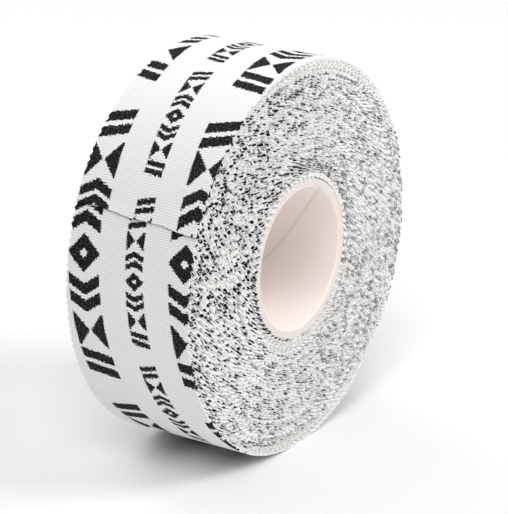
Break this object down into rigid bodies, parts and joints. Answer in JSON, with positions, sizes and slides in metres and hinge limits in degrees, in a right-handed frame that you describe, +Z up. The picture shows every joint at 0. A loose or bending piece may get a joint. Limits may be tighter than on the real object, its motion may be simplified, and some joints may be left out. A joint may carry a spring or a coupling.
{
  "type": "hand wrap tape roll",
  "caption": "Roll of white cotton hand-wrap tape with dark geometric marks and pinked edges, wound on a paper core, with a cut end that peels up.",
  "frame": {"origin": "middle of the roll, on the core's axis, half way across the tape", "axes": "+Y along the core's axis, +Z up with the roll standing on its rim, and the cut end of the tape on the -X side"},
  "size_m": [0.0706, 0.025, 0.0705],
  "materials": {
    "core_paper": "matte",
    "core_board": "matte",
    "tape_edges": "matte",
    "tape_cloth": "matte",
    "adhesive": "satin"
  },
  "bodies": {
    "roll": {"core_liner": "core_paper", "core_board": "core_board", "wound_turns": "tape_edges", "outer_turn": "tape_cloth"},
    "loose_end": {"tape_end": "tape_cloth", "tape_end_adhesive": "adhesive"}
  },
  "joints": [
    {"name": "peel", "type": "hinge", "parent": "roll", "child": "loose_end", "pos_m": [-0.02561, 0, 0.02431], "axis": [0, 1, 0], "range_deg": [0, 90]}
  ]
}
